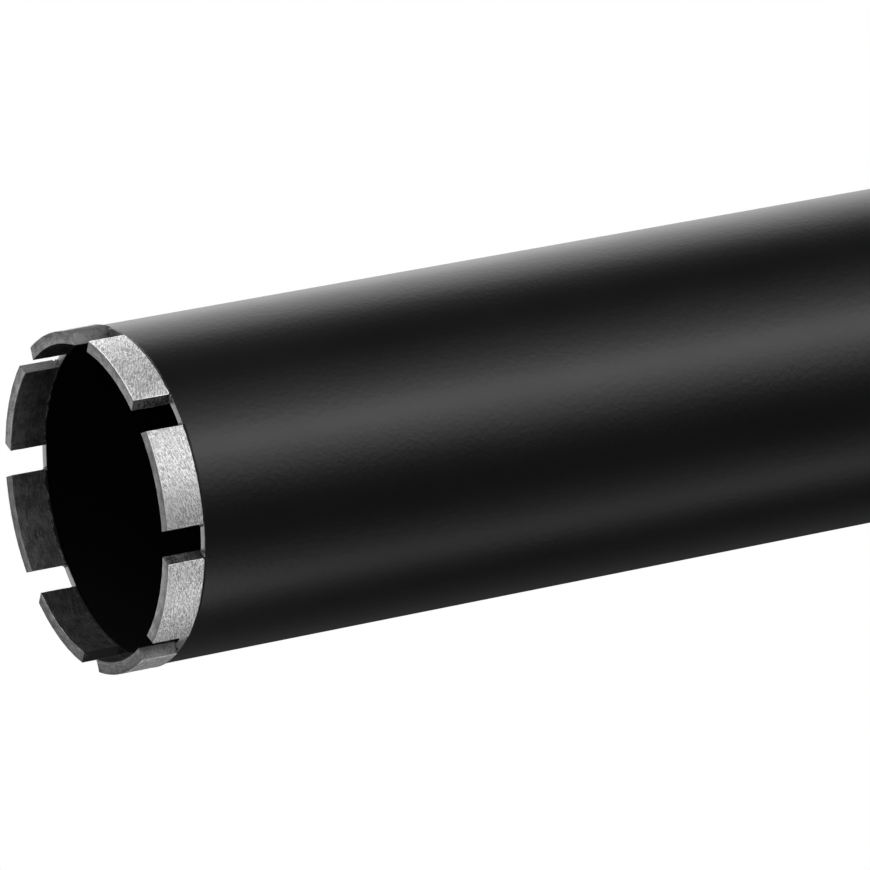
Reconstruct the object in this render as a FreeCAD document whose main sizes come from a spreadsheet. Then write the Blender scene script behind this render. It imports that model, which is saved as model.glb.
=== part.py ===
import FreeCAD, Part
import math
import os
import Sketcher

# Wet core bit: a thin steel barrel with a crown of brazed diamond segments and a welded, threaded hub.
# Units are millimetres. The bit stands on its hub, +Z runs up the barrel to the crown.

doc = FreeCAD.newDocument("core_bit")

# Driving sizes
SIZES = {
    "barrel_diameter": 81.0,        # outside of the steel tube
    "barrel_wall": 2.0,
    "barrel_length": 445.0,         # tube alone, from the end disc to the ground rim
    "segment_count": 8,
    "segment_height": 9.7,          # along the bit's axis
    "proud_outside": 0.5,           # segment stands this far outside the tube
    "proud_inside": 0.7,            # and this far inside it
    "water_slot": 5.7,              # between two segments, at their inner corners
    "edge_chamfer": 0.45,           # along the two long cutting edges
    "braze_thickness": 0.15,        # solder between rim and segment foot
    "braze_fillet": 0.45,           # how far the solder runs down the tube's wall
    "braze_spread": 0.5,            # how far it runs past the segment's ends
    "disc_thickness": 8.0,
    "disc_edge": 0.6,               # chamfer of the disc's lower edge
    "register_depth": 4.0,          # step of the disc that enters the tube
    "register_gap": 0.05,           # radial clearance of the step in the tube
    "weld_land": 0.8,               # part of the tube's wall that meets the disc unbevelled
    "weld_crown": 0.4,              # height of the closing weld above the tube
    "hub_diameter": 50.0,
    "hub_length": 34.0,             # from the seat on the spindle to the shoulder under the disc
    "hub_edge": 1.5,                # chamfer round the hub's seat
    "spigot_diameter": 42.0,        # neck of the hub that passes through the disc
    "spigot_gap": 0.05,
    "hub_weld_leg": 5.0,
    "thread_bore": 28.2,            # minor diameter of the 1 1/4 inch, 7 per inch spindle thread
    "thread_mouth": 2.0,            # lead-in chamfer at the seat
    "thread_exit": 1.0,             # chamfer where the bore opens into the barrel
    "spanner_flats": 41.0,          # across the two flats on the hub
    "flat_height": 22.0,
}
sheet = doc.addObject("Spreadsheet::Sheet", "Sizes")
for row, (alias, number) in enumerate(SIZES.items(), start=1):
    sheet.set(f"A{row}", alias)
    sheet.set(f"B{row}", str(number))
    sheet.setAlias(f"B{row}", alias)
doc.recompute()

# Sizes and levels worked out from the sheet, as expressions that the features are bound to
TUBE_OUT = "(Sizes.barrel_diameter / 2)"
TUBE_IN = f"({TUBE_OUT} - Sizes.barrel_wall)"
SEGMENT_OUT = f"({TUBE_OUT} + Sizes.proud_outside)"
SEGMENT_IN = f"({TUBE_IN} - Sizes.proud_inside)"
PITCH = "(360 deg / Sizes.segment_count)"
SEGMENT_LENGTH = f"(2 * {SEGMENT_IN} * sin({PITCH} / 2 - asin(Sizes.water_slot / 2 / {SEGMENT_IN})))"
SHOULDER = "Sizes.hub_length"
SEAT = f"({SHOULDER} + Sizes.disc_thickness)"
DISC_TOP = f"({SEAT} + Sizes.register_depth)"
RIM = f"({SEAT} + Sizes.barrel_length)"
FOOT = f"({RIM} + Sizes.braze_thickness)"
REGISTER = f"({TUBE_IN} - Sizes.register_gap)"
BEVEL = "(Sizes.barrel_wall - Sizes.weld_land)"
HUB_OUT = "(Sizes.hub_diameter / 2)"
SPIGOT = "(Sizes.spigot_diameter / 2)"
DISC_BORE = f"({SPIGOT} + Sizes.spigot_gap)"
BORE = "(Sizes.thread_bore / 2)"

subparts = []


def value(expression):
    found = sheet.evalExpression(expression)
    return float(getattr(found, "Value", found))


def new_body(label):
    body = doc.addObject("PartDesign::Body", label)
    body.Label = label
    subparts.append(body)
    return body


def sketch_in(body, name, plane):
    """A sketch on one of the body's own origin planes."""
    sketch = body.newObject("Sketcher::SketchObject", name)
    origin_plane = next(f for f in body.Origin.OriginFeatures if f.Role == plane)
    sketch.AttachmentSupport = [(origin_plane, "")]
    sketch.MapMode = "FlatFace"
    return sketch


def bind(sketch, kind, edge, end, expression):
    """Hold one end of an edge at a distance from the sketch's origin, along X or Y."""
    number = sketch.addConstraint(Sketcher.Constraint(kind, -1, 1, edge, end, value(expression)))
    sketch.setExpression(f"Constraints[{number}]", expression)


def outline(sketch, corners):
    """A closed outline of straight sides through corners given as (x, y) expressions."""
    places = [FreeCAD.Vector(value(x), value(y), 0) for x, y in corners]
    sides = [sketch.addGeometry(Part.LineSegment(places[here - 1], places[here]), False)
             for here in range(len(places))]
    for here, (x, y) in enumerate(corners):
        following = sides[(here + 1) % len(sides)]
        sketch.addConstraint(Sketcher.Constraint("Coincident", sides[here], 2, following, 1))
        bind(sketch, "DistanceX", sides[here], 2, x)
        bind(sketch, "DistanceY", sides[here], 2, y)
    return sketch


def turned(body, corners):
    """Turn a half section, drawn in the XZ plane, round the bit's axis."""
    section = outline(sketch_in(body, body.Label + "_section", "XZ_Plane"), corners)
    turning = body.newObject("PartDesign::Revolution", body.Label + "_turned")
    turning.Profile = section
    turning.ReferenceAxis = (section, ["V_Axis"])
    turning.Angle = 360
    doc.recompute()
    return turning


# Barrel: drawn steel tube, bevelled outside at the lower end for the closing weld
def barrel_tube():
    turned(new_body("barrel_tube"), [
        (TUBE_IN, SEAT),
        (f"{TUBE_OUT} - {BEVEL}", SEAT),
        (TUBE_OUT, f"{SEAT} + {BEVEL}"),
        (TUBE_OUT, RIM),
        (TUBE_IN, RIM),
    ])


# End disc: flange flush with the tube, with a step that centres it in the tube
def end_disc():
    turned(new_body("end_disc"), [
        (DISC_BORE, SHOULDER),
        (f"{TUBE_OUT} - Sizes.disc_edge", SHOULDER),
        (TUBE_OUT, f"{SHOULDER} + Sizes.disc_edge"),
        (TUBE_OUT, f"{SEAT} - {BEVEL}"),
        (f"{TUBE_OUT} - {BEVEL}", SEAT),
        (REGISTER, SEAT),
        (REGISTER, f"{DISC_TOP} - Sizes.disc_edge"),
        (f"{REGISTER} - Sizes.disc_edge", DISC_TOP),
        (DISC_BORE, DISC_TOP),
    ])


# Weld that fills the groove between tube and disc
def barrel_weld():
    turned(new_body("barrel_weld"), [
        (f"{TUBE_OUT} - {BEVEL}", SEAT),
        (TUBE_OUT, f"{SEAT} - {BEVEL}"),
        (f"{TUBE_OUT} + Sizes.weld_crown", f"{SEAT} - {BEVEL} / 2"),
        (f"{TUBE_OUT} + Sizes.weld_crown", f"{SEAT} + {BEVEL} / 2"),
        (TUBE_OUT, f"{SEAT} + {BEVEL}"),
    ])


# Hub: turned steel, bored for the spindle thread, with two flats for a spanner
def threaded_hub():
    body = new_body("threaded_hub")
    turned(body, [
        (f"{BORE} + Sizes.thread_mouth", "0"),
        (f"{HUB_OUT} - Sizes.hub_edge", "0"),
        (HUB_OUT, "Sizes.hub_edge"),
        (HUB_OUT, SHOULDER),
        (SPIGOT, SHOULDER),
        (SPIGOT, DISC_TOP),
        (f"{BORE} + Sizes.thread_exit", DISC_TOP),
        (BORE, f"{DISC_TOP} - Sizes.thread_exit"),
        (BORE, "Sizes.thread_mouth"),
    ])
    round_hub = body.Shape.Volume
    flats = sketch_in(body, "spanner_flats", "XY_Plane")
    for side in ("", "-"):
        near, far = f"{side}Sizes.spanner_flats / 2", f"{side}Sizes.hub_diameter"
        corners = [("-Sizes.hub_diameter", near), ("Sizes.hub_diameter", near),
                   ("Sizes.hub_diameter", far), ("-Sizes.hub_diameter", far)]
        outline(flats, corners)
    milling = body.newObject("PartDesign::Pocket", "milled_flats")
    milling.Profile = flats
    milling.Reversed = True
    milling.setExpression("Length", "Sizes.flat_height")
    doc.recompute()
    if body.Shape.Volume > round_hub - 1:
        raise RuntimeError("the spanner flats cut nothing from the hub")


# Weld in the corner between hub and disc
def hub_weld():
    turned(new_body("hub_weld"), [
        (HUB_OUT, SHOULDER),
        (HUB_OUT, f"{SHOULDER} - Sizes.hub_weld_leg"),
        (f"{HUB_OUT} + Sizes.hub_weld_leg", SHOULDER),
    ])


def turn_to_place(piece, number, level):
    """Swing a piece made on +X to its place in the crown, half a pitch off the axes."""
    piece.Placement = FreeCAD.Placement(FreeCAD.Vector(), FreeCAD.Rotation(FreeCAD.Vector(0, 0, 1), 1))
    piece.setExpression("Placement.Rotation.Angle", f"{PITCH} * ({number} - 0.5)")
    piece.setExpression("Placement.Base.z", level)


# Diamond segment: a bar bent to the tube's curve, its two ends parallel to each other
def diamond_segment(number):
    body = new_body(f"diamond_segment_{number}")
    plan = sketch_in(body, f"segment_plan_{number}", "XY_Plane")
    half = value(SEGMENT_LENGTH) / 2
    arcs = []
    for radius in (SEGMENT_OUT, SEGMENT_IN):
        reach = math.asin(half / value(radius))
        circle = Part.Circle(FreeCAD.Vector(), FreeCAD.Vector(0, 0, 1), value(radius))
        arc = plan.addGeometry(Part.ArcOfCircle(circle, -reach, reach), False)
        plan.addConstraint(Sketcher.Constraint("Coincident", arc, 3, -1, 1))
        bound = plan.addConstraint(Sketcher.Constraint("Radius", arc, value(radius)))
        plan.setExpression(f"Constraints[{bound}]", radius)
        arcs.append(arc)
    for end, sign in ((1, "-"), (2, "")):
        line = Part.LineSegment(plan.getPoint(arcs[0], end), plan.getPoint(arcs[1], end))
        side = plan.addGeometry(line, False)
        for joined, arc in enumerate(arcs, start=1):
            plan.addConstraint(Sketcher.Constraint("Coincident", side, joined, arc, end))
        plan.addConstraint(Sketcher.Constraint("Horizontal", side))
        bind(plan, "DistanceY", side, 1, f"{sign}{SEGMENT_LENGTH} / 2")
    bar = body.newObject("PartDesign::Pad", f"segment_bar_{number}")
    bar.Profile = plan
    bar.setExpression("Length", "Sizes.segment_height")
    doc.recompute()
    top = bar.Shape.BoundBox.ZMax
    long_edges = [f"Edge{n}" for n, edge in enumerate(bar.Shape.Edges, start=1)
                  if edge.Curve.TypeId == "Part::GeomCircle" and edge.BoundBox.ZMin > top - 1e-6]
    edging = body.newObject("PartDesign::Chamfer", f"cutting_edges_{number}")
    edging.Base = (bar, long_edges)
    edging.setExpression("Size", "Sizes.edge_chamfer")
    turn_to_place(body, number, FOOT)


# Braze: a ring of solder with a fillet down each wall of the tube, kept only under one segment
def braze_ring():
    section = doc.addObject("Sketcher::SketchObject", "braze_section")
    section.Placement = FreeCAD.Placement(FreeCAD.Vector(), FreeCAD.Rotation(FreeCAD.Vector(1, 0, 0), 90))
    outline(section, [
        (TUBE_IN, "0"),
        (TUBE_IN, "-Sizes.braze_fillet"),
        (SEGMENT_IN, "Sizes.braze_thickness"),
        (SEGMENT_OUT, "Sizes.braze_thickness"),
        (TUBE_OUT, "-Sizes.braze_fillet"),
        (TUBE_OUT, "0"),
    ])
    ring = doc.addObject("Part::Revolution", "braze_ring")
    ring.Source = section
    ring.Axis = FreeCAD.Vector(0, 0, 1)
    ring.Angle = 360
    ring.Solid = True
    return ring


def braze_window():
    """The space between the two parallel end planes of one braze joint."""
    window = doc.addObject("Part::Box", "braze_window")
    window.setExpression("Length", "Sizes.barrel_diameter")
    window.setExpression("Width", f"{SEGMENT_LENGTH} + 2 * Sizes.braze_spread")
    window.setExpression("Height", "Sizes.braze_thickness + Sizes.braze_fillet")
    window.setExpression("Placement.Base.y", f"-{SEGMENT_LENGTH} / 2 - Sizes.braze_spread")
    window.setExpression("Placement.Base.z", "-Sizes.braze_fillet")
    return window


def braze_joint(number, ring, window):
    joint = doc.addObject("Part::Common", f"braze_joint_{number}")
    joint.Base = ring
    joint.Tool = window
    turn_to_place(joint, number, RIM)
    subparts.append(joint)


barrel_tube()
end_disc()
barrel_weld()
threaded_hub()
hub_weld()
ring, window = braze_ring(), braze_window()
for number in range(1, int(sheet.segment_count) + 1):
    diamond_segment(number)
    braze_joint(number, ring, window)
doc.recompute()

# Every object has to be sound before a file is written
for thing in doc.Objects:
    if "Invalid" in thing.State or "Error" in thing.State:
        raise RuntimeError(f"{thing.Label} failed to build: {thing.State}")
for piece in subparts:
    if piece.Shape.isNull() or not piece.Shape.isValid() or len(piece.Shape.Solids) != 1:
        raise RuntimeError(f"{piece.Label} is not one sound solid")

os.makedirs("parts", exist_ok=True)
for piece in subparts:
    piece.Shape.exportStep(os.path.join("parts", piece.Label + ".step"))
    print(piece.Label, round(piece.Shape.Volume, 2), "mm3")
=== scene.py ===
import math

import bmesh
import bpy
from mathutils import Matrix, Vector, noise


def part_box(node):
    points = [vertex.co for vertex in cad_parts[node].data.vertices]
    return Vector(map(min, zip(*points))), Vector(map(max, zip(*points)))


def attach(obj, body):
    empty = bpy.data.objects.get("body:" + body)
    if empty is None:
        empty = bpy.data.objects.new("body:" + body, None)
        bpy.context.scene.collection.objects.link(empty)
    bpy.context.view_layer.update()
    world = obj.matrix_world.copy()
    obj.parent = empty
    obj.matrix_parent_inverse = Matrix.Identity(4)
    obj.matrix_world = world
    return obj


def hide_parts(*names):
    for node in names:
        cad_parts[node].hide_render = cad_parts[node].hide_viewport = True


# Diamond core bit, standing on its hub: a black painted barrel, a crown of brazed segments, a welded hub.
# Blender works in metres; the dictionaries hold millimetres and degrees, and mm turns them into metres.
mm = 0.001

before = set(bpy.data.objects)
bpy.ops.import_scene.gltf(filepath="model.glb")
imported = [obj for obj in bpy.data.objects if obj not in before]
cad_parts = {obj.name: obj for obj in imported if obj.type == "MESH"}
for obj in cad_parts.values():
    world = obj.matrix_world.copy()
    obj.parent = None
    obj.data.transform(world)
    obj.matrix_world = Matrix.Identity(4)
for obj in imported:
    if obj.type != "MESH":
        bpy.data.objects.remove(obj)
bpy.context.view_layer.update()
scene = bpy.context.scene
scene.view_settings.view_transform = "Standard"
print("frame loaded,", len(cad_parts), "nodes")


def reach(node):                             # nearest and furthest point from the bit's axis
    distances = [math.hypot(v.co.x, v.co.y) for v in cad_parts[node].data.vertices]
    return min(distances), max(distances)


def chord(node, angle):                      # width across the direction that a segment faces
    across = [v.co.y * math.cos(angle) - v.co.x * math.sin(angle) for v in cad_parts[node].data.vertices]
    return max(across) - min(across)


# Radii and levels of the bit, read from the frame
tubeIn, tubeOut = reach("barrel_tube")
segmentIn, segmentOut = reach("diamond_segment_1")
boreRadius, hubRadius = reach("threaded_hub")
discBore = reach("end_disc")[0]
bevelRadius, weldRadius = reach("barrel_weld")
shoulder, discTop = (corner.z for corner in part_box("end_disc"))
seat, rim = (corner.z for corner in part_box("barrel_tube"))
foot, crown = (corner.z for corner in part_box("diamond_segment_1"))
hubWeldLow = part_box("hub_weld")[0].z
bevel = tubeOut - bevelRadius
segmentCount = sum(name.startswith("diamond_segment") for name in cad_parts)
pitchAngle = math.tau / segmentCount
segmentLength = chord("diamond_segment_1", pitchAngle / 2)


# Node trees: a Wire is an output socket, and sums on wires add Math or Vector Math nodes
def pick(sockets, key):
    shown = [socket for socket in sockets if socket.enabled]
    if isinstance(key, int):
        return shown[key]
    return next(socket for socket in shown if socket.name == key)


def isVector(term):
    if isinstance(term, Wire):
        return term.socket.type in ("VECTOR", "RGBA")
    return isinstance(term, (tuple, Vector))


def sums(operation):                         # an operator's two methods: wire first, wire last
    def wireFirst(self, other):
        return self.graph.maths(operation, self, other)

    def wireLast(self, other):
        return self.graph.maths(operation, other, self)
    return wireFirst, wireLast


class Wire:
    __add__, __radd__ = sums("ADD")
    __sub__, __rsub__ = sums("SUBTRACT")
    __mul__, __rmul__ = sums("MULTIPLY")
    __truediv__, __rtruediv__ = sums("DIVIDE")

    def __init__(self, graph, socket):
        self.graph = graph
        self.socket = socket

    def out(self, name):                     # another output of the same node
        return Wire(self.graph, pick(self.socket.node.outputs, name))


class Graph:
    def __init__(self, tree):
        self.tree = tree

    def node(self, kind, settings=None, sockets=None, output=0):
        made = self.tree.nodes.new(kind)
        for name, setting in (settings or {}).items():
            setattr(made, name, setting)
        for key, given in (sockets or {}).items():
            socket = pick(made.inputs, key)
            for one in given if isinstance(given, list) else [given]:
                if isinstance(one, Wire):
                    self.tree.links.new(one.socket, socket)
                else:
                    socket.default_value = one
        return Wire(self, pick(made.outputs, output)) if made.outputs else None

    def maths(self, operation, *terms):
        kind = "ShaderNodeMath"
        if any(isVector(term) for term in terms):
            kind = "ShaderNodeVectorMath"
            terms = [(term, term, term) if isinstance(term, (int, float)) else term for term in terms]
        return self.node(kind, {"operation": operation}, dict(enumerate(terms)))

    def step(self, value, low, high):        # 0 below low, 1 above high, smooth between
        return self.node("ShaderNodeMapRange", {"interpolation_type": "SMOOTHSTEP"},
                         {"Value": value, "From Min": low, "From Max": high})

    def speckle(self, place, size, seed=0.0, detail=2.0, distortion=0.0):
        return self.node("ShaderNodeTexNoise", {"noise_dimensions": "4D"},     # with blots of that size
                         {"Vector": place, "W": seed, "Scale": 1 / size, "Detail": detail,
                          "Distortion": distortion})

    def blend(self, factor, low, high):      # a value, or a colour, between two others
        kind = "RGBA" if isVector(low) or isVector(high) else "FLOAT"
        return self.node("ShaderNodeMix", {"data_type": kind}, {"Factor": factor, "A": low, "B": high})

    def parts(self, vector):                 # the three numbers of a vector
        split = self.node("ShaderNodeSeparateXYZ", None, {"Vector": vector})
        return split, split.out("Y"), split.out("Z")

    def vector(self, x, y, z):
        return self.node("ShaderNodeCombineXYZ", None, {"X": x, "Y": y, "Z": z})

    def flatLength(self, x, y):              # distance from the bit's axis
        return self.maths("LENGTH", self.vector(x, y, 0.0))

    def greys(self, factor, shades):         # a grey between two others
        return self.blend(factor, grey(shades[0]), grey(shades[1]))

    def attribute(self, name, output="Fac"):
        return self.node("ShaderNodeAttribute", {"attribute_name": name}, output=output)


def grey(value):
    return (value, value, value, 1.0)


# Materials: heights are in millimetres, and what varies feeds only what the export bakes
def newMaterial(name):
    material = bpy.data.materials.new(name)
    material.use_nodes = True
    material.node_tree.nodes.clear()
    return material, Graph(material.node_tree)


def inMillimetres(graph):                    # Object coordinates, which are the bit's own
    return graph.node("ShaderNodeTexCoord", output="Object") * (1 / mm)


def finishSurface(graph, height, sockets):
    bump = graph.node("ShaderNodeBump", None, {"Height": height, "Distance": mm})
    shader = graph.node("ShaderNodeBsdfPrincipled", None, {**sockets, "Normal": bump})
    graph.node("ShaderNodeOutputMaterial", None, {"Surface": shader})


# Black satin paint, which stops just short of the bare rim of ground steel
paint = {
    "colour": (0.0010, 0.0020),
    "roughness": (0.34, 0.40),
    "shine": 0.36,
    "insideColour": 0.0006,
    "insideRoughness": (0.75, 0.85),
    "insideShine": 0.06,
    "cloudSize": 26.0,
    "grainSize": 0.6,
    "grainHeight": 0.019,
    "peelSize": 1.2,
    "peelHeight": 0.050,
    "steel": (0.27, 0.46),
    "steelRoughness": 0.40,
    "steelSize": 0.9,
    "grindSize": 0.16,
    "grindHeight": 0.004,
    "bareBelowRim": 0.06,
    "bareSoftness": 0.05,                    # height over which paint turns to bare steel
    "edgeJitter": 0.10,
    "jitterSize": 0.7,
    "rimPatchPlace": (-39.5, 1.0, 0.0),         # where black paint covers the bare rim, in one slot
    "rimPatchRadius": 4.6,
    "rimPatchSoftness": 0.6,
    "rimPatchJitter": 20,                       # how ragged that patch's edge is next to the paint's
}


def rimPaintPatch(graph, place, ragged):        # 1 where that paint is
    x, y = graph.parts(place)[:2]
    away = graph.maths("DISTANCE", graph.vector(x, y, 0.0), paint["rimPatchPlace"]) + ragged
    return 1.0 - graph.step(away, paint["rimPatchRadius"], paint["rimPatchRadius"] + paint["rimPatchSoftness"])


def blackPaint():
    material, graph = newMaterial("blackPaint")
    place = inMillimetres(graph)
    x, y, z = graph.parts(place)
    radius = graph.flatLength(x, y)
    clouds = graph.speckle(place, paint["cloudSize"], seed=1.0, detail=3.0)
    ragged = graph.speckle(place, paint["jitterSize"], seed=2.0) * paint["edgeJitter"]
    bareLevel = rim / mm - paint["bareBelowRim"]
    # a patch of black paint on the bare rim, in one slot
    drift = rimPaintPatch(graph, place, ragged * paint["rimPatchJitter"])
    bare = graph.step(z + ragged, bareLevel, bareLevel + paint["bareSoftness"]) * (1.0 - drift)
    mottle = graph.speckle(place, paint["steelSize"], seed=3.0, detail=3.0)
    colour = graph.greys(clouds, paint["colour"])
    gloss = graph.blend(clouds, *paint["roughness"])
    grain = graph.speckle(place, paint["grainSize"], seed=4.0) * paint["grainHeight"]
    peel = graph.speckle(place, paint["peelSize"], seed=5.0) * paint["peelHeight"]
    rings = graph.vector(radius, 0.0, 0.0)
    grinding = graph.speckle(rings, paint["grindSize"], seed=6.0) * paint["grindHeight"]
    finishSurface(graph, graph.blend(bare, grain + peel, grinding), {
        "Base Color": graph.blend(bare, colour, graph.greys(mottle, paint["steel"])),
        "Metallic": bare,
        "Roughness": graph.blend(bare, gloss, paint["steelRoughness"]),
        "Specular IOR Level": paint["shine"],
    })
    return material


def barrelInside():                          # the paint's dull, dark drift within the tube
    material, graph = newMaterial("barrelInside")
    grain = graph.speckle(inMillimetres(graph), paint["peelSize"], seed=7.0)
    finishSurface(graph, grain * paint["peelHeight"], {
        "Base Color": grey(paint["insideColour"]),
        "Roughness": graph.blend(grain, *paint["insideRoughness"]),
        "Specular IOR Level": paint["insideShine"],
    })
    return material


# Sintered metal of the segments: dull as pressed, bright and rough where the outer face is ground.
# A band holds how deep inside a face's edge a finish starts, and how deep it is full.
matrix = {
    "dull": (0.23, 0.47),
    "dullRoughness": (0.40, 0.50),
    "ground": (0.42, 1.0),
    "groundRoughness": 0.56,
    "contrast": (0.41, 0.59),                # noise that gives a mark's darkest and lightest metal
    "blotSize": 2.6,
    "strokeLong": 1.0,                       # length of a grinding mark along the circle
    "strokeThin": 0.27,
    "strokeTilt": 0.6,                       # the most that marks lean from the circle
    "strokeTurn": 0.297,
    "strokeShare": 0.6,                      # share of strokes in the marks, next to dots
    "strokeBend": 0.6,
    "dotSize": 0.24,
    "patchSize": 5.0,                        # patches with stronger and weaker marks
    "patchContrast": (0.40, 0.60),
    "patchStrength": (0.75, 0.6),            # the least, and what is added where they are strongest
    "relief": 0.085,                         # height of the marks
    "dullRelief": 0.42,                      # and its share on the other faces
    "streakLong": 2.4,                       # pressing marks of the dull faces
    "streakThin": 0.34,
    "wornShares": (0.4, 0.3, 0.3),           # of blots, grain and streaks in the dull faces' pattern
    "groundBand": (0.30, 0.05),
    "endBand": (0.25, 0.05),                 # of the front face too
    "innerBand": (0.35, 0.15),
    "edgeWear": 0.5,                         # brighter metal along the edges of the ground face
    "edgeWearLeast": 0.2,                    # and its share where the pattern is darkest
    "endWearBand": (0.40, 0.18),
    "frontWearBand": (0.36, 0.14),
    "paintedInnerHighlight": 0.42,                      # painted highlight: how much lighter the front face's colour is made at its inner edge
    "paintedHighlightMiddle": 0.4,
    "shadedBand": (7.5, 3.5),                # of the painted shade at one end of an outer face
    "shadedWander": 4.0,
    "mist": 0.010,                           # black paint that drifted on the end faces
    "mistRoughness": 0.8,
    "mistCover": 0.8,                        # share of the metal's gloss that it hides
    "mistAtFoot": 1.10,
    "mistFall": 0.40,                        # how much less of it there is at the crown
    "mistPatches": 0.7,
    "inkWander": (3.0, 0.8, 0.6),            # by blots, streaks and grain, of the paint's edge inside
    "inkSoftness": 0.25,
    "underBand": (0.10, 0.02),
    "grainSize": 0.36,
    "grainHeight": 0.014,
    "gritShare": 0.75,                       # brightness of the diamond grit next to the metal's
    "gritRoughness": 0.34,
    "grazing": 0.60,                         # share of the gloss that is left at a flat angle
}


def nearFace(graph, place, half, band):      # 1 at the face that is half away
    return graph.step(place, half - band[0], half - band[1])


def nearBackFace(graph, place, half, band):  # 1 at the face on the other side
    return 1.0 - graph.step(place, band[1] - half, band[0] - half)


def sinteredMetal(halfLength, halfThickness, halfHeight):
    material, graph = newMaterial("sinteredMetal")
    place = graph.attribute("barPlace", "Vector")
    batch = graph.attribute("batch")
    grit = graph.attribute("grit")
    frontTone, innerTone, outerTone = graph.parts(graph.attribute("tones", "Vector"))
    along, through, up = graph.parts(place)
    length = graph.maths("ABSOLUTE", along)

    # noises: marks of the grindstone, and the pattern of the pressed faces
    lean = along * graph.maths("SINE", batch * matrix["strokeTurn"]) * matrix["strokeTilt"]
    thin = matrix["strokeThin"]
    tilted = graph.vector(along / matrix["strokeLong"], through / thin, (up - lean) / thin)
    strokes = graph.speckle(tilted, 1.0, batch, distortion=matrix["strokeBend"])
    dots = graph.speckle(place, matrix["dotSize"], batch + 6.0, detail=1.0)
    patch = graph.step(graph.speckle(place, matrix["patchSize"], batch + 3.0), *matrix["patchContrast"])
    patches = matrix["patchStrength"][0] + matrix["patchStrength"][1] * patch
    blots = graph.speckle(place, matrix["blotSize"], batch, detail=4.0)
    grain = graph.speckle(place, matrix["grainSize"], batch, detail=1.0)
    thin = matrix["streakThin"]
    streaks = graph.speckle(graph.vector(along / matrix["streakLong"], through / thin, up / thin), 1.0, batch)
    shares = matrix["wornShares"]
    worn = graph.step(blots * shares[0] + grain * shares[1] + streaks * shares[2], *matrix["contrast"])

    # faces
    outside = nearFace(graph, through, halfThickness, matrix["groundBand"])
    ends = nearFace(graph, length, halfLength, matrix["endBand"]) * (1.0 - outside)
    front = nearFace(graph, up, halfHeight, matrix["endBand"])
    inside = nearBackFace(graph, through, halfThickness, matrix["innerBand"])
    under = (1.0 - outside) * nearBackFace(graph, up, halfHeight, matrix["underBand"])

    # metal
    # painted highlight: the front face's colour is made lighter toward its inner edge
    across = graph.step(through, -halfThickness, halfThickness)
    inward = 1.0 + matrix["paintedInnerHighlight"] * (matrix["paintedHighlightMiddle"] - across)
    dullTone = graph.blend(front, graph.blend(inside, 1.0, innerTone), frontTone * inward)
    dull = graph.greys(worn, matrix["dull"]) * dullTone
    share = matrix["strokeShare"]
    marks = 0.5 + (graph.step(strokes * share + dots * (1 - share), *matrix["contrast"]) - 0.5) * patches
    least = matrix["edgeWearLeast"]
    atEdge = graph.maths("MAXIMUM", nearFace(graph, length, halfLength, matrix["endWearBand"]),
                         nearFace(graph, up, halfHeight, matrix["frontWearBand"]))
    wear = atEdge * (least + (1 - least) * worn)
    marks = graph.maths("MINIMUM", marks + wear * matrix["edgeWear"], 1.0)
    # painted shade: the colour of an outer face is darkened near one end
    shadedPlace = along + (blots - 0.5) * matrix["shadedWander"]
    shadedEnd = nearBackFace(graph, shadedPlace, halfLength, matrix["shadedBand"])
    groundTone = outerTone * graph.blend(shadedEnd, 1.0, graph.attribute("shadedEnd"))
    colour = graph.blend(outside, dull, graph.greys(marks, matrix["ground"]) * groundTone)

    # paint that drifted on the ends and under the bar, and up its foot inside
    drift = matrix["mistAtFoot"] - graph.step(up, -halfHeight, halfHeight) * matrix["mistFall"]
    drift = drift + (worn - 0.5) * matrix["mistPatches"]
    edge = up + halfHeight
    for pattern, wander in zip((blots, streaks, grain), matrix["inkWander"]):
        edge = edge + (pattern - 0.5) * wander
    inked = graph.attribute("inked")
    foot = inside * (1.0 - graph.step(edge, inked - matrix["inkSoftness"], inked + matrix["inkSoftness"]))
    foot = graph.maths("MAXIMUM", foot, under)
    mist = graph.maths("MAXIMUM", ends * graph.attribute("overspray") * drift, foot)
    mist = graph.maths("MINIMUM", mist, 1.0)
    colour = graph.blend(mist, colour, grey(matrix["mist"]))

    gloss = graph.blend(outside, graph.blend(blots, *matrix["dullRoughness"]), matrix["groundRoughness"])
    gloss = graph.blend(mist, gloss, matrix["mistRoughness"])
    relief = graph.blend(outside, matrix["dullRelief"], patches) * matrix["relief"]
    finishSurface(graph, strokes * relief + grain * matrix["grainHeight"], {
        "Base Color": graph.blend(grit, colour, colour * matrix["gritShare"]),
        "Metallic": 1.0 - matrix["mistCover"] * mist,
        "Roughness": graph.blend(grit, gloss, matrix["gritRoughness"]),
        "Specular Tint": grey(matrix["grazing"]),
    })
    return material


# Solder of the brazed joints
solderFinish = {
    "colour": (0.18, 0.34),
    "roughness": (0.36, 0.52),
    "blotSize": 0.8,
    "height": 0.03,
    "paintedWall": 0.12,                     # how deep from the wall's faces the barrel's paint reaches
    "paintWander": 0.2,
    "paintSoftness": 0.04,
    "bareAtRim": (0.10, 0.2),                # in this much height below the rim, the bare part gets wider
    "paintPatchSize": 1.7,
    "paintPatches": (0.54, 0.60),            # noise between which a patch of paint starts and is full
}


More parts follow.
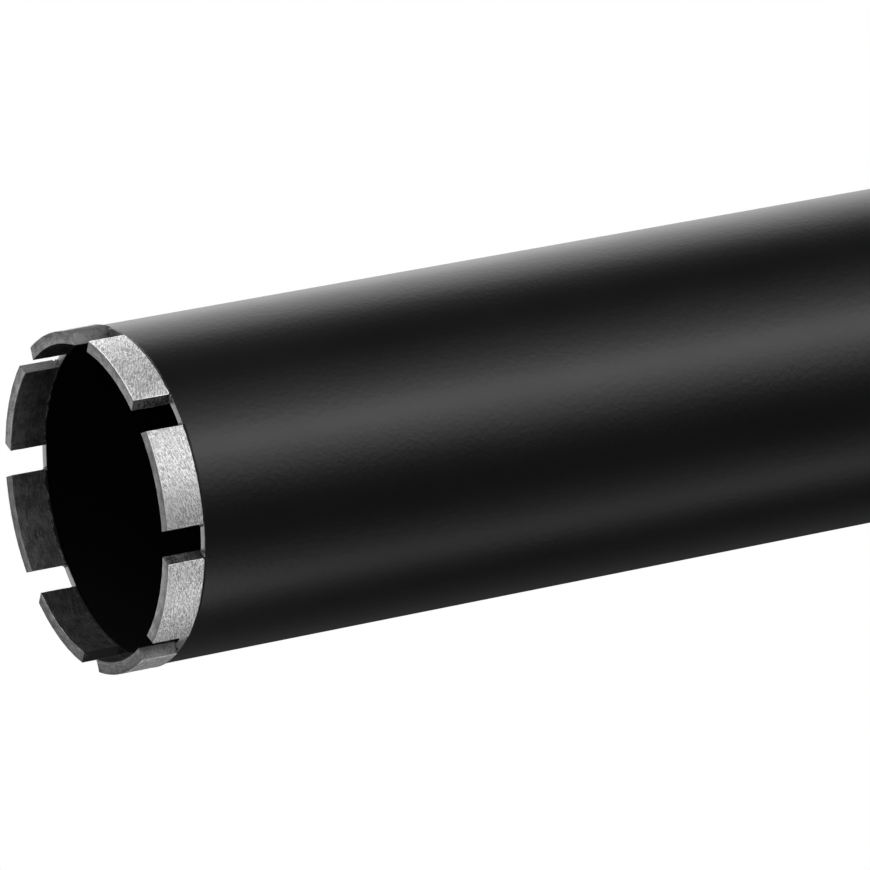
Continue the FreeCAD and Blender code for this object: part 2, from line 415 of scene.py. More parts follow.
def silverSolder():
    material, graph = newMaterial("silverSolder")
    place = inMillimetres(graph)
    blots = graph.speckle(place, solderFinish["blotSize"], seed=1.0, detail=3.0, distortion=0.4)
    x, y, z = graph.parts(place)
    radius = graph.flatLength(x, y) + (blots - 0.5) * solderFinish["paintWander"]
    middle = (tubeIn + tubeOut) / 2 / mm
    height, widening = solderFinish["bareAtRim"]
    reachOut = (tubeOut - tubeIn) / 2 / mm - solderFinish["paintedWall"]
    reachOut = reachOut + graph.step(z, rim / mm - height, rim / mm) * widening
    soft = solderFinish["paintSoftness"]
    black = graph.step(graph.maths("ABSOLUTE", radius - middle), reachOut - soft, reachOut + soft)
    patches = graph.speckle(place, solderFinish["paintPatchSize"], seed=4.0, detail=3.0)
    black = graph.maths("MAXIMUM", black, graph.step(patches, *solderFinish["paintPatches"]))
    # the same black patch over the solder in that slot
    black = graph.maths("MAXIMUM", black, rimPaintPatch(graph, place, blots))
    bare = graph.greys(blots, solderFinish["colour"])
    finishSurface(graph, blots * solderFinish["height"], {
        "Base Color": graph.blend(black, bare, grey(paint["colour"][1])),
        "Metallic": 1.0 - black,
        "Roughness": graph.blend(blots, *solderFinish["roughness"]),
        "Specular IOR Level": paint["shine"],
    })
    return material


# Turned steel of the hub, with the tool's rings on it
hubFinish = {
    "colour": (0.40, 0.54),
    "roughness": (0.26, 0.40),
    "ringSize": 0.22,
    "ringHeight": 0.006,
    "ringShare": 0.4,                        # of the rings in the roughness, next to the stains
    "stainSize": 7.0,
}


def turnedSteel():
    material, graph = newMaterial("turnedSteel")
    place = inMillimetres(graph)
    x, y, z = graph.parts(place)
    turning = graph.vector(graph.flatLength(x, y), 0.0, z)
    rings = graph.speckle(turning, hubFinish["ringSize"], seed=1.0, detail=1.0)
    stain = graph.speckle(place, hubFinish["stainSize"], seed=2.0, detail=4.0)
    share = hubFinish["ringShare"]
    finishSurface(graph, rings * hubFinish["ringHeight"], {
        "Base Color": graph.greys(stain, hubFinish["colour"]),
        "Metallic": 1.0,
        "Roughness": graph.blend(rings * share + stain * (1 - share), *hubFinish["roughness"]),
    })
    return material


# Meshes made in code: everything is in place in its mesh, and faces point outwards
samePlace = 0.0005                           # points this near each other are one


def cleanMesh(mesh, merged=True):
    work = bmesh.new()
    work.from_mesh(mesh)
    if merged:
        bmesh.ops.remove_doubles(work, verts=work.verts, dist=samePlace * mm)
        bmesh.ops.dissolve_degenerate(work, edges=work.edges, dist=samePlace * mm)
    bmesh.ops.recalc_face_normals(work, faces=work.faces)
    work.to_mesh(mesh)
    work.free()


def newPiece(name, corners, faces, material, sharpAngle=40):
    mesh = bpy.data.meshes.new(name)
    mesh.from_pydata(corners, [], faces)
    cleanMesh(mesh)
    mesh.shade_smooth()
    mesh.set_sharp_from_angle(angle=math.radians(sharpAngle))
    mesh.materials.append(material)
    piece = bpy.data.objects.new(name, mesh)
    scene.collection.objects.link(piece)
    return piece


def around(radius, angle, level):
    return Vector((radius * math.cos(angle), radius * math.sin(angle), level))


# A closed outline from corners of (radius, level, rounding), in which the rounded ones are arcs
def rounded(corners, steps=4):
    outline = []
    for here, (radius, level, rounding) in enumerate(corners):
        corner = Vector((radius, level))
        before = Vector(corners[here - 1][:2]) - corner
        after = Vector(corners[(here + 1) % len(corners)][:2]) - corner
        if rounding == 0:
            outline.append(corner)
            continue
        cut = rounding / math.tan(before.angle(after) / 2)
        start, end = corner + before.normalized() * cut, corner + after.normalized() * cut
        centre = corner + (before.normalized() + after.normalized()).normalized() * math.hypot(rounding, cut)
        turn = (start - centre).angle_signed(end - centre)
        for step in range(steps + 1):
            outline.append(centre + Matrix.Rotation(-turn * step / steps, 2) @ (start - centre))
    return outline


def skin(rows, closedRows, closedColumns):   # corners and faces of a grid, given as rows of points
    width = len(rows[0])
    faces = []
    for row in range(len(rows) if closedRows else len(rows) - 1):
        upper, lower = row * width, (row + 1) % len(rows) * width
        for left in range(width if closedColumns else width - 1):
            right = (left + 1) % width
            faces.append((upper + left, upper + right, lower + right, lower + left))
    return [point for row in rows for point in row], faces


def turned(name, outline, steps, material):  # an outline swept round the bit's axis
    rows = [[around(point.x, math.tau * step / steps, point.y) for step in range(steps)] for point in outline]
    return newPiece(name, *skin(rows, True, True), material)


# Geometry Nodes trees, and the plain meshes that they give
def newTree(name, inputs):
    tree = bpy.data.node_groups.new(name, "GeometryNodeTree")
    for label, kind in inputs.items():
        tree.interface.new_socket(label, in_out="INPUT", socket_type="NodeSocket" + kind)
    tree.interface.new_socket("Geometry", in_out="OUTPUT", socket_type="NodeSocketGeometry")
    graph = Graph(tree)
    entry = graph.node("NodeGroupInput")
    return tree, graph, {label: entry.out(label) for label in inputs}


def endTree(graph, geometry, material):
    geometry = graph.node("GeometryNodeRealizeInstances", None, {"Geometry": geometry})
    geometry = graph.node("GeometryNodeSetMaterial", None, {"Geometry": geometry, "Material": material})
    graph.node("NodeGroupOutput", None, {"Geometry": geometry})


def grown(name, tree, values):               # the mesh that a tree gives for these values
    piece = bpy.data.objects.new(name, bpy.data.meshes.new(name))
    scene.collection.objects.link(piece)
    modifier = piece.modifiers.new("Growth", "NODES")
    modifier.node_group = tree
    for socket in tree.interface.items_tree:
        if socket.in_out == "INPUT":
            modifier[socket.identifier] = values[socket.name]
    result = piece.evaluated_get(bpy.context.evaluated_depsgraph_get())
    mesh = bpy.data.meshes.new_from_object(result)
    piece.modifiers.remove(modifier)
    piece.data = mesh
    return piece


# Barrel and end disc
barrel = {
    "steps": 384,
    "rimRounding": 0.22,
    "rimInnerRounding": 0.16,
    "discRounding": 0.3,
    "registerGap": 0.05,                     # play between the disc's step and the tube
    "paintedTop": 1.0,                       # height below the rim with the outer paint inside
    "boreMargin": 0.01,
}

painted = blackPaint()
rimCorners = [
    (tubeIn, seat, 0),
    (bevelRadius, seat, 0),
    (tubeOut, seat + bevel, 0),
    (tubeOut, rim, barrel["rimRounding"] * mm),
    (tubeIn, rim, barrel["rimInnerRounding"] * mm),
]
paintedBarrel = turned("paintedBarrel", rounded(rimCorners), barrel["steps"], painted)
paintedBarrel.data.materials.append(barrelInside())
for face in paintedBarrel.data.polygons:
    onBore = math.hypot(face.center.x, face.center.y) < tubeIn + barrel["boreMargin"] * mm
    if onBore and face.center.z < rim - barrel["paintedTop"] * mm:
        face.material_index = 1
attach(paintedBarrel, "root")
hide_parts("barrel_tube")

discRim = barrel["discRounding"] * mm
register = tubeIn - barrel["registerGap"] * mm
discCorners = [
    (discBore, shoulder, 0),
    (tubeOut - 2 * discRim, shoulder, discRim),
    (tubeOut, shoulder + 2 * discRim, discRim),
    (tubeOut, seat - bevel, 0),
    (bevelRadius, seat, 0),
    (register, seat, 0),
    (register, discTop - 2 * discRim, 0),
    (register - 2 * discRim, discTop, 0),
    (discBore, discTop, 0),
]
endDisc = turned("endDisc", rounded(discCorners), barrel["steps"], painted)
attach(endDisc, "root")
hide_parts("end_disc")
print("barrel and end disc made")


# Welds: one tree lays a ring of overlapping ripples, its section an ellipse that leans by a slope
weld = {
    "stepsPerRipple": 10,
    "sectionSteps": 28,
    "barrelRipple": 2.0,                     # length of one ripple along the seam
    "barrelDepth": 1.1,
    "barrelSunk": 0.05,
    "hubRipple": 2.6,
    "hubProud": 0.75,
    "hubDepth": 3.3,
    "wobbleSize": 0.035,                     # of a circle with a radius of 1
    "phaseWobble": 0.5,
    "mergeDistance": 0.002,
    "outwardFrom": -0.001,                   # so that the bead's sides belong to its outer half
    "inputs": {                              # of the tree, alike for both beads
        "Ripple Height": 0.34,               # share of how far the bead stands proud
        "Crescent": 0.65,                    # how far a ripple's ends trail behind its middle
        "Wander": 0.16,
    },
}


def weldTree():
    inputs = {"Ripples": "Int", "Around": "Int", "Section": "Int", "Radius": "Float", "Level": "Float",
              "Slope": "Float", "Across": "Float", "Proud": "Float", "Depth": "Float",
              "Ripple Height": "Float", "Crescent": "Float", "Wander": "Float", "Seed": "Float",
              "Material": "Material"}
    tree, graph, sizes = newTree("weldBead", inputs)
    grid = graph.node("GeometryNodeMeshGrid", None, {
        "Size X": 1.0, "Size Y": 1.0, "Vertices X": sizes["Around"], "Vertices Y": sizes["Section"]})
    place = graph.node("GeometryNodeInputPosition")
    x, y = graph.parts(place)[:2]
    angle = (x + 0.5) * math.tau
    turn = y * math.tau
    out, across = graph.maths("COSINE", turn), graph.maths("SINE", turn)
    onCircle = graph.vector(graph.maths("COSINE", angle), graph.maths("SINE", angle), 0.0)
    wobble = graph.speckle(onCircle, weld["wobbleSize"], sizes["Seed"], detail=3.0) - 0.5
    trail = across * across * sizes["Crescent"]
    phase = graph.maths("FRACT", angle * sizes["Ripples"] / math.tau + trail + wobble * weld["phaseWobble"])
    fromMiddle = phase * 2.0 - 1.0
    ripple = graph.maths("SQRT", 1.0 - fromMiddle * fromMiddle)
    outward = graph.maths("MAXIMUM", out, 0.0)
    inward = graph.maths("MINIMUM", out, 0.0)
    height = 1.0 - sizes["Ripple Height"] * (1.0 - ripple) + wobble * sizes["Wander"]
    proud = outward * sizes["Proud"] * height + inward * sizes["Depth"]
    outerHalf = graph.maths("GREATER_THAN", out, weld["outwardFrom"])
    squeeze = graph.blend(outerHalf, graph.maths("ABSOLUTE", across), 1.0)
    side = across * squeeze * sizes["Across"] * (1.0 + wobble * sizes["Wander"] * outward)
    lean, rise = graph.maths("COSINE", sizes["Slope"]), graph.maths("SINE", sizes["Slope"])
    radius = sizes["Radius"] + proud * lean - side * rise
    level = sizes["Level"] + proud * rise + side * lean
    bead = graph.node("GeometryNodeSetPosition", None, {
        "Geometry": grid, "Position": (onCircle * radius + graph.vector(0.0, 0.0, level)) * mm})
    bead = graph.node("GeometryNodeMergeByDistance", None, {
        "Geometry": bead, "Distance": weld["mergeDistance"] * mm})
    bead = graph.node("GeometryNodeSetShadeSmooth", None, {"Geometry": bead})
    endTree(graph, bead, sizes["Material"])
    return tree


def layWeld(name, node, tree, rippleLength, values):
    count = round(math.tau * values["Radius"] / rippleLength)
    piece = grown(name, tree, {
        **weld["inputs"], **values, "Ripples": count, "Around": count * weld["stepsPerRipple"] + 1,
        "Section": weld["sectionSteps"] + 1, "Material": painted})
    cleanMesh(piece.data, merged=False)
    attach(piece, "root")
    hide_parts(node)


beads = weldTree()
leg = shoulder - hubWeldLow                  # of the corner between hub and disc
layWeld("barrelWeld", "barrel_weld", beads, weld["barrelRipple"], {
    "Radius": tubeOut / mm - weld["barrelSunk"], "Level": seat / mm, "Slope": 0.0, "Across": bevel / mm,
    "Proud": (weldRadius - tubeOut) / mm, "Depth": weld["barrelDepth"], "Seed": 1.0})
layWeld("hubWeld", "hub_weld", beads, weld["hubRipple"], {
    "Radius": (hubRadius + leg / 2) / mm, "Level": (shoulder - leg / 2) / mm, "Slope": -math.pi / 4,
    "Across": leg / mm * math.sqrt(0.5), "Proud": weld["hubProud"], "Depth": weld["hubDepth"], "Seed": 2.0})
print("welds made")


# Hub: turned outside, spanner flats, and a right-handed internal thread
hub = {
    "columns": 240,
    "neckGap": 0.05,
    "edgeChamfer": 1.5,
    "mouthChamfer": 2.0,
    "exitChamfer": 1.0,
    "acrossFlats": 41.0,
    "flatHeight": 22.0,
    "leastSine": 1e-9,                       # keeps the flats' formula off a division by 0
    "threadPitch": 25.4 / 7,
    "threadRadius": 15.875,                  # at the thread's root
    "rootShare": 0.0625,                     # half widths of root and mouth, as shares of the pitch
    "mouthShare": 0.345,
    "threadRows": (0.155, 0.30, 0.4375, 0.5625, 0.70, 0.845, 1.0),
    "rounding": 0.3,
}


def threadedBore(angle, level):              # radius of the bore at an angle and level
    share = abs((level / (hub["threadPitch"] * mm) - angle / math.tau) % 1 - 0.5)
    flank = (hub["mouthShare"] - share) / (hub["mouthShare"] - hub["rootShare"])
    depth = (hub["threadRadius"] * mm - boreRadius) * min(1.0, max(0.0, flank))
    mouth = boreRadius + hub["mouthChamfer"] * mm - level
    leaving = boreRadius + hub["exitChamfer"] * mm - (discTop - level)
    return max(boreRadius + depth, mouth, leaving)


def hubRows():
    flat = hub["acrossFlats"] / 2 * mm
    flatTop = hub["flatHeight"] * mm
    corner = math.asin(flat / hubRadius)
    angles = {math.tau * column / hub["columns"] for column in range(hub["columns"] + 1)}
    angles |= {corner, math.pi - corner, math.pi + corner, math.tau - corner}
    angles = sorted(angles)
    neck = discBore - hub["neckGap"] * mm
    edge, soft = hub["edgeChamfer"] * mm, hub["rounding"] * mm
    lower = [(boreRadius + hub["mouthChamfer"] * mm, 0, 0), (hubRadius - edge, 0, soft),
             (hubRadius, edge, soft), (hubRadius, flatTop, 0)]
    upper = [(hubRadius, flatTop, 0), (hubRadius, shoulder, 0), (neck, shoulder, 0), (neck, discTop, soft),
             (boreRadius + hub["exitChamfer"] * mm, discTop, 0)]
    limits = [flat / max(abs(math.sin(angle)), hub["leastSine"]) for angle in angles]
    rows = [[around(min(point.x, limit), angle, point.y) for angle, limit in zip(angles, limits)]
            for point in rounded(lower)]
    rows += [[around(point.x, angle, point.y) for angle in angles] for point in rounded(upper)[:-1]]
    pitch = hub["threadPitch"] * mm
    bore = []
    for turn in range(-1, math.ceil(discTop / pitch) + 1):
        for share in hub["threadRows"]:
            row = []
            for angle in angles:
                level = min(discTop, max(0.0, (turn + share + angle / math.tau) * pitch))
                row.append(around(threadedBore(angle, level), angle, level))
            bore.append(row)
    return rows + bore[::-1]


steel = turnedSteel()
threadedHub = newPiece("threadedHub", *skin(hubRows(), True, False), steel, sharpAngle=35)
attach(threadedHub, "root")
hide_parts("threaded_hub")
print("hub made")


# Segments: one tree makes a bar with worn edges, bends it to the barrel and sets diamond grit in it
segment = {
    "pointSpacing": 0.2,
    "roundingContrast": (0.3, 0.75),         # noise that gives the least and the most rounding
    "rippleLong": 1.15,
    "rippleThin": 0.42,
    "rippleSlant": 0.35,
    "pitContrast": (0.66, 0.80),             # noise at which a pit starts and is at its deepest
    "gritDensity": 8.0e5,                    # the most crystals on a square metre
    "gritScale": (0.6, 1.35),
    "gritTurn": 6.2,                         # the most that a crystal turns on each axis, in radians
    "batchStep": 7.3,                        # between the noises of two segments
    "inputs": {                              # of the tree, alike for all segments
        "Rounding Low": 0.09,
        "Rounding High": 0.24,
        "Rounding Blot": 1.7,
        "Wave Height": 0.08,
        "Wave Size": 7.0,
        "Ripple Height": 0.08,
        "Sunk": 0.11,                        # how far the metal stays inside the plain bar
        "Pit Depth": 0.16,
        "Pit Size": 0.6,
        "Grit Spacing": 1.1,
        "Grit Radius": 0.07,
    },
    "bites": {                               # corner (shares of the half sizes), shape and radius
        2: ((-1, 1, -1), (1, 1, 1), 0.85),
        3: ((-1, 0, -1), (1, 0, 1), 0.62),
        6: ((1, 1, -1), (1, 1, 1), 0.55),
        8: ((-1, 1, -1), (1, 1, 1), 0.45),
    },
    "tones": {                               # of the front, inner and outer faces
        1: (0.78, 0.4, 0.90),
        2: (0.92, 0.75, 0.9),
        3: (0.54, 1.0, 0.85),
        4: (0.61, 0.41, 0.95),
        5: (0.57, 0.35, 1.0),
        6: (1.00, 0.8, 1.0),
        7: (0.80, 0.8, 0.75),
        8: (0.96, 0.8, 1.0),
    },
    "oversprays": {1: 0.66, 2: 0.66, 3: 0.4, 4: 2.0, 5: 0.12, 6: 1.08, 7: 0.5, 8: 0.88},
    "shadedEnds": {1: 0.11},                 # painted shade: tone of the colour at one end of an outer face
    "inked": {1: 0.7, 2: 0.7, 3: 0.9, 4: 0.95, 5: 1.2, 6: 0.7, 7: 0.7, 8: 0.7},  # paint's height inside
}


def segmentTree():
    kinds = {
        "Vector": ("Size", "Bite Place", "Bite Shape", "Bite Way", "Tones"),
        "Int": ("Points Along", "Points Through", "Points Up", "Seed"),
        "Float": ("Middle Radius", "Level", "Angle", "Bite Radius", "Overspray", "Inked", "Shaded End",
                  *segment["inputs"]),
        "Material": ("Material",),
    }
    inputs = {name: kind for kind, names in kinds.items() for name in names}
    tree, graph, sizes = newTree("diamondSegment", inputs)
    place = graph.node("GeometryNodeInputPosition")
    batch = sizes["Seed"] * segment["batchStep"]
    half = sizes["Size"] * 0.5
    bar = graph.node("GeometryNodeMeshCube", None, {
        "Size": sizes["Size"], "Vertices X": sizes["Points Along"], "Vertices Y": sizes["Points Through"],
        "Vertices Z": sizes["Points Up"]})
    for kind, name, value in (
            ("FLOAT_VECTOR", "barPlace", place), ("FLOAT", "batch", batch), ("FLOAT", "grit", 0.0),
            ("FLOAT_VECTOR", "tones", sizes["Tones"]), ("FLOAT", "overspray", sizes["Overspray"]),
            ("FLOAT", "inked", sizes["Inked"]), ("FLOAT", "shadedEnd", sizes["Shaded End"])):
        bar = graph.node("GeometryNodeStoreNamedAttribute", {"data_type": kind},
                         {"Geometry": bar, "Name": name, "Value": value})

    # worn edges: every point keeps its distance from a smaller core
    blot = graph.step(graph.speckle(place, sizes["Rounding Blot"], batch, detail=3.0),
                      *segment["roundingContrast"])
    edge = graph.blend(blot, sizes["Rounding Low"], sizes["Rounding High"])
    core = graph.maths("MAXIMUM", graph.maths("MINIMUM", place, half - edge), edge - half)
    outward = graph.maths("NORMALIZE", place - core)
    along, through, up = graph.parts(place)
    thin = segment["rippleThin"]
    slant = up * segment["rippleSlant"]
    slanted = graph.vector(along / segment["rippleLong"] + slant, through / thin, up / thin)
    ripple = (graph.speckle(slanted, 1.0, batch, distortion=0.5) - 0.5) * sizes["Ripple Height"]
    wave = (graph.speckle(place, sizes["Wave Size"], batch + 1.0) - 0.5) * sizes["Wave Height"]
    pits = graph.speckle(place, sizes["Pit Size"], batch + 2.0, detail=1.0)
    pits = graph.step(pits, *segment["pitContrast"])
    surface = core + outward * (edge + wave + ripple - pits * sizes["Pit Depth"] - sizes["Sunk"])

    # a bite out of a corner, where one is: points inside it go back to its far side
    gap = (surface - sizes["Bite Place"]) * sizes["Bite Shape"]
    forward = graph.maths("DOT_PRODUCT", gap, sizes["Bite Way"])
    depth = sizes["Bite Radius"] * sizes["Bite Radius"] - graph.maths("DOT_PRODUCT", gap, gap)
    push = graph.maths("SQRT", graph.maths("MAXIMUM", forward * forward + depth, 0.0)) - forward
    push = push * graph.maths("GREATER_THAN", depth, 0.0)
    bitten = surface + sizes["Bite Way"] * push

    # bent to the barrel's circle, its ends parallel, and turned to its place in the crown
    along, through, up = graph.parts(bitten)
    radius = through + sizes["Middle Radius"]
    middle = graph.maths("SQRT", radius * radius - along * along)
    bent = graph.node("ShaderNodeVectorRotate", {"rotation_type": "Z_AXIS"}, {
        "Vector": graph.vector(middle, along, up + sizes["Level"]), "Angle": sizes["Angle"]})
    bar = graph.node("GeometryNodeSetPosition", None, {"Geometry": bar, "Position": bent * mm})
    bar = graph.node("GeometryNodeSetShadeSmooth", None, {"Geometry": bar})

    crystal = graph.node("GeometryNodeMeshIcoSphere", None, {
        "Radius": sizes["Grit Radius"] * mm, "Subdivisions": 1})
    crystal = graph.node("GeometryNodeStoreNamedAttribute", {"data_type": "FLOAT"},
                         {"Geometry": crystal, "Name": "grit", "Value": 1.0})
    spots = graph.node("GeometryNodeDistributePointsOnFaces", {"distribute_method": "POISSON"}, {
        "Mesh": bar, "Distance Min": sizes["Grit Spacing"] * mm, "Density Max": segment["gritDensity"],
        "Seed": sizes["Seed"]})
    turn = graph.node("FunctionNodeRandomValue", {"data_type": "FLOAT_VECTOR"}, {
        "Min": (0.0, 0.0, 0.0), "Max": (segment["gritTurn"],) * 3, "Seed": sizes["Seed"]})
    size = graph.node("FunctionNodeRandomValue", {"data_type": "FLOAT"}, {
        "Min": segment["gritScale"][0], "Max": segment["gritScale"][1], "Seed": sizes["Seed"] + 1})
    grit = graph.node("GeometryNodeInstanceOnPoints", None, {
        "Points": spots, "Instance": crystal, "Scale": size,
        "Rotation": graph.node("FunctionNodeEulerToRotation", None, {"Euler": turn})})
    joined = graph.node("GeometryNodeJoinGeometry", None, {"Geometry": [bar, grit]})
    endTree(graph, joined, sizes["Material"])
    return tree


barHalves = Vector((segmentLength, segmentOut - segmentIn, crown - foot)) / 2 / mm
barPoints = [round(half * 2 / segment["pointSpacing"]) for half in barHalves]
sintered = sinteredMetal(*barHalves)
bars = segmentTree()
for number in range(1, segmentCount + 1):
    corner, shape, biteRadius = segment["bites"].get(number, ((1, 1, 1), (1, 1, 1), 0.0))
    way = -Vector([a * b for a, b in zip(corner, shape)]).normalized()
    piece = grown(f"diamondSegment{number}", bars, {
        **segment["inputs"], "Size": barHalves * 2, "Points Along": barPoints[0],
        "Points Through": barPoints[1], "Points Up": barPoints[2],
        "Middle Radius": (segmentIn + segmentOut) / 2 / mm, "Level": (foot + crown) / 2 / mm,
        "Angle": (number - 0.5) * pitchAngle,
        "Bite Place": Vector([a * b for a, b in zip(corner, barHalves)]), "Bite Shape": Vector(shape),
        "Bite Way": way, "Bite Radius": biteRadius, "Tones": segment["tones"][number],
        "Overspray": segment["oversprays"][number], "Inked": segment["inked"][number],
        "Shaded End": segment["shadedEnds"].get(number, 1.0),
        "Seed": number, "Material": sintered})
    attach(piece, "root")
    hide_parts(f"diamond_segment_{number}")
print("segments made")


# Solder joints: sections of a thin layer that fills the corners under the overhangs and at the ends
joint = {
    "stations": 110,
    "spread": 0.5,                           # past the segment's ends, over the rim
    "climb": 0.26,                           # up the end faces
    "fillet": 0.45,                          # down the walls of the barrel
    "endFillet": 0.8,                        # share of that past the segment's ends
    "taper": 0.2,                            # how much narrower the layer gets there, on either side
    "inset": 0.06,                           # how far its upper edge stays inside the segment's face
    "film": 0.03,                            # thickness on the walls
    "under": 0.02,                           # how far it reaches above the segment's foot
    "core": (0.4, 0.2),                      # depth of its hidden corners in the wall and under the rim
    "arcSteps": 5,
    "unevenness": 0.55,
    "blot": 1.6,
    "jointStep": 20,                         # between the noises of two joints
    "sideStep": 50,                          # and of a joint's outer and inner fillets
}


# A concave arc from the wall up to the layer's upper edge, upright there past the segment's ends
def filletArc(wall, edge, low, high, pastEnd):
    arc = []
    for step in range(joint["arcSteps"] + 1):
        share = math.pi / 2 * step / joint["arcSteps"]
        rise = math.sin(share) if pastEnd else 1 - math.cos(share)
        arc.append((edge + (wall - edge) * math.cos(share), low + (high - low) * rise))
    return arc


def solderRows(number):
    halfLength = segmentLength / 2
    reachAlong = halfLength + joint["spread"] * mm
    turn = Matrix.Rotation((number - 0.5) * pitchAngle, 3, "Z")
    depth, below = (size * mm for size in joint["core"])
    uneven = joint["unevenness"]
    rows = []
    for station in range(joint["stations"] + 1):
        along = reachAlong * (2 * station / joint["stations"] - 1)
        beyond = max(0.0, abs(along) - halfLength) / (joint["spread"] * mm)
        fade = math.sqrt(max(0.0, 1 - beyond * beyond))
        spot = Vector((along / mm, 0, number * joint["jointStep"])) / joint["blot"]
        outer, inner = (joint["fillet"] * mm * (1 + uneven * noise.noise(spot + Vector((0, row, 0))))
                        for row in (0, joint["sideStep"]))
        if beyond > 0:
            top = rim + joint["climb"] * mm * (1 - beyond) ** 2 * (1 + uneven * noise.noise(spot * 2))
            taper = joint["taper"] * mm * beyond
            topIn, topOut = tubeIn + taper, tubeOut - taper
            outer, inner = outer * fade * joint["endFillet"], inner * fade * joint["endFillet"]
        else:
            top = foot + joint["under"] * mm
            topIn, topOut = segmentIn + joint["inset"] * mm, segmentOut - joint["inset"] * mm
        film = joint["film"] * mm * fade
        section = filletArc(tubeOut + film, topOut, rim - outer, top, beyond > 0)
        section += filletArc(tubeIn - film, topIn, rim - inner, top, beyond > 0)[::-1]
        section += [(tubeIn + depth, rim - below), (tubeOut - depth, rim - below)]
        rows.append([turn @ Vector((math.sqrt(radius * radius - along * along), along, level))
                     for radius, level in section])
    return rows


solder = silverSolder()
for number in range(1, segmentCount + 1):
    rows = solderRows(number)
    corners, faces = skin(rows, False, True)
    faces += [tuple(range(len(rows[0]))), tuple(range(len(corners) - len(rows[0]), len(corners)))]
    piece = newPiece(f"solderJoint{number}", corners, faces, solder, sharpAngle=60)
    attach(piece, "root")
    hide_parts(f"braze_joint_{number}")
print("solder made")


# Camera, where the photograph was taken from
view = {
    "lens": 348.625,
    "sensorWidth": 36.0,
    "clipStart": 0.05,
    "clipEnd": 50.0,
    "place": (0.595305, -1.674925, 1.362787),    # in metres
    "right": (-0.018017, -0.502333, -0.864487),
    "up": (0.955530, 0.245888, -0.162794),
}

camera = bpy.data.cameras.new("camera")
camera.lens = view["lens"]
camera.sensor_width = view["sensorWidth"]
camera.clip_start = view["clipStart"]
camera.clip_end = view["clipEnd"]
cameraObject = bpy.data.objects.new("camera", camera)
right, up = Vector(view["right"]), Vector(view["up"])
cameraTurn = Matrix((right, up, right.cross(up))).transposed()
cameraObject.matrix_world = Matrix.Translation(view["place"]) @ cameraTurn.to_4x4()
scene.collection.objects.link(cameraObject)
scene.camera = cameraObject


# Lamps: upright strips round the barrel, soft panels at the crown and one overhead, in metres and degrees
strips = {
    "distance": 0.25,
    "high": 0.51,
    "places": (                              # azimuth, width in degrees, lower end and brightness
        (-50, 15, 0.01, 3.25), (-65, 15, 0.01, 1.12), (-35, 15, 0.01, 0.87), (-20, 15, 0.01, 0.30),
        (-140, 15, 0.01, 0.92), (-125, 15, 0.01, 0.20),
        (40, 15, 0.01, 1.02), (55, 15, 0.01, 1.46), (70, 15, 0.01, 1.55), (55, 45, 0.22, 0.30),
        (85, 15, 0.01, 1.05), (100, 15, 0.01, 1.80),
        (160, 45, 0.01, 0.06),
    ),
}
panels = {                                   # place, level it faces on the axis, width, height, brightness
    "frontPanel": ((-0.236, 0.663, 0.877), 0.49, 0.5, 0.5, 0.74),
    "overheadPanel": ((0.0, 0.0, 1.3), 0.49, 0.8, 0.8, 0.6),
    "crownRight": ((0.282, 0.103, 0.66), 0.56, 0.24, 0.24, 3.7),
    "crownLeft": ((-0.197, -0.184, 0.49), 0.49, 0.12, 0.06, 3.5),
    "crownBack": ((-0.254, 0.092, 0.49), 0.49, 0.14, 0.06, 1.6),
    "crownFront": ((0.100, -0.282, 0.75), 0.55, 0.24, 0.24, 2.0),
}
wattsPerLevel = 4.0                          # what a square metre of lamp needs for a brightness of 1


def addLamp(name, place, faced, width, height, level):
    lamp = bpy.data.lights.new(name, "AREA")
    lamp.shape = "RECTANGLE"
    lamp.size = width
    lamp.size_y = height
    lamp.energy = level * width * height * wattsPerLevel
    lampObject = bpy.data.objects.new(name, lamp)
    lampObject.location = place
    way = Vector((0.0, 0.0, faced)) - Vector(place)
    lampObject.rotation_euler = way.to_track_quat("-Z", "Y").to_euler()
    lampObject.visible_camera = False
    scene.collection.objects.link(lampObject)


for number, (azimuth, width, low, level) in enumerate(strips["places"], 1):
    middle = (low + strips["high"]) / 2
    place = around(strips["distance"], math.radians(azimuth), middle)
    broad = strips["distance"] * math.radians(width)
    addLamp(f"strip{number}", place, middle, broad, strips["high"] - low, level)
for name, values in panels.items():
    addLamp(name, *values)
print("camera and lamps set")


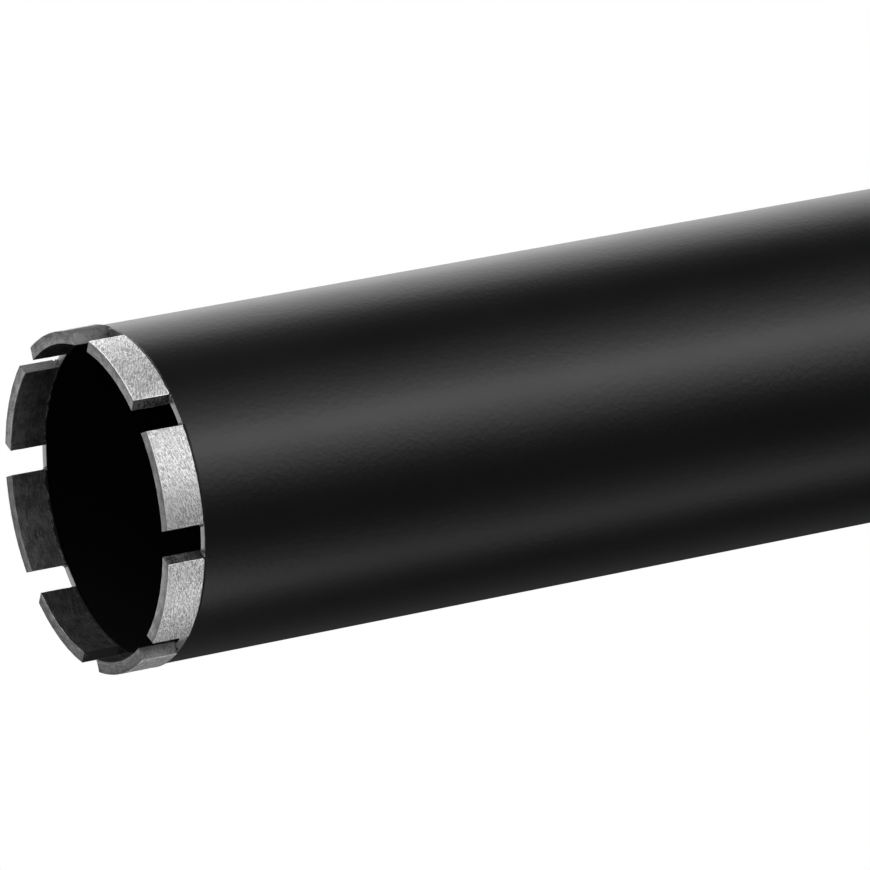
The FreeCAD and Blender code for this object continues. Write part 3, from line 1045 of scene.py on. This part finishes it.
# Floor and world: pale round the bit, with its shadow, and plain white further out and behind
backdrop = {
    "floorSize": 6.0,
    "floorColour": 0.80,
    "floorRoughness": 0.9,
    "floorShine": 0.2,
    "fadeStart": 0.05,
    "fadeEnd": 0.22,
    "mirrored": 0.048,                       # brightness that metal and glass see
    "ambient": 0.04,
}


def glow(graph, kind, level):
    return graph.node(kind, None, {"Color": grey(1.0), "Strength": level})


def seenWhite(graph, kind, otherShader):     # white to the camera, a lower level in reflections
    path = graph.node("ShaderNodeLightPath")
    mirror = graph.maths("MAXIMUM", path.out("Is Glossy Ray"), path.out("Is Transmission Ray"))
    mirrored = glow(graph, kind, backdrop["mirrored"])
    shade = graph.node("ShaderNodeMixShader", None, {0: mirror, 1: otherShader, 2: mirrored})
    return graph.node("ShaderNodeMixShader", None, {0: path, 1: shade, 2: glow(graph, kind, 1.0)})


def paleFloor():
    material, graph = newMaterial("paleFloor")
    x, y = graph.parts(graph.node("ShaderNodeTexCoord", output="Object"))[:2]
    pale = graph.node("ShaderNodeBsdfPrincipled", None, {
        "Base Color": grey(backdrop["floorColour"]), "Roughness": backdrop["floorRoughness"],
        "Specular IOR Level": backdrop["floorShine"]})
    fade = graph.step(graph.flatLength(x, y), backdrop["fadeStart"], backdrop["fadeEnd"])
    white = seenWhite(graph, "ShaderNodeEmission", pale)
    shader = graph.node("ShaderNodeMixShader", None, {0: fade, 1: pale, 2: white})
    graph.node("ShaderNodeOutputMaterial", None, {"Surface": shader})
    return material


floorMesh = bpy.data.meshes.new("floor")
side = backdrop["floorSize"] / 2
floorCorners = [(-side, -side, 0), (side, -side, 0), (side, side, 0), (-side, side, 0)]
floorMesh.from_pydata(floorCorners, [], [(0, 1, 2, 3)])
floorMesh.materials.append(paleFloor())
floor = bpy.data.objects.new("floor", floorMesh)
scene.collection.objects.link(floor)

world = bpy.data.worlds.new("world")
world.use_nodes = True
world.node_tree.nodes.clear()
worldGraph = Graph(world.node_tree)
ambient = glow(worldGraph, "ShaderNodeBackground", backdrop["ambient"])
sky = seenWhite(worldGraph, "ShaderNodeBackground", ambient)
worldGraph.node("ShaderNodeOutputWorld", None, {"Surface": sky})
scene.world = world
print("floor and world set")
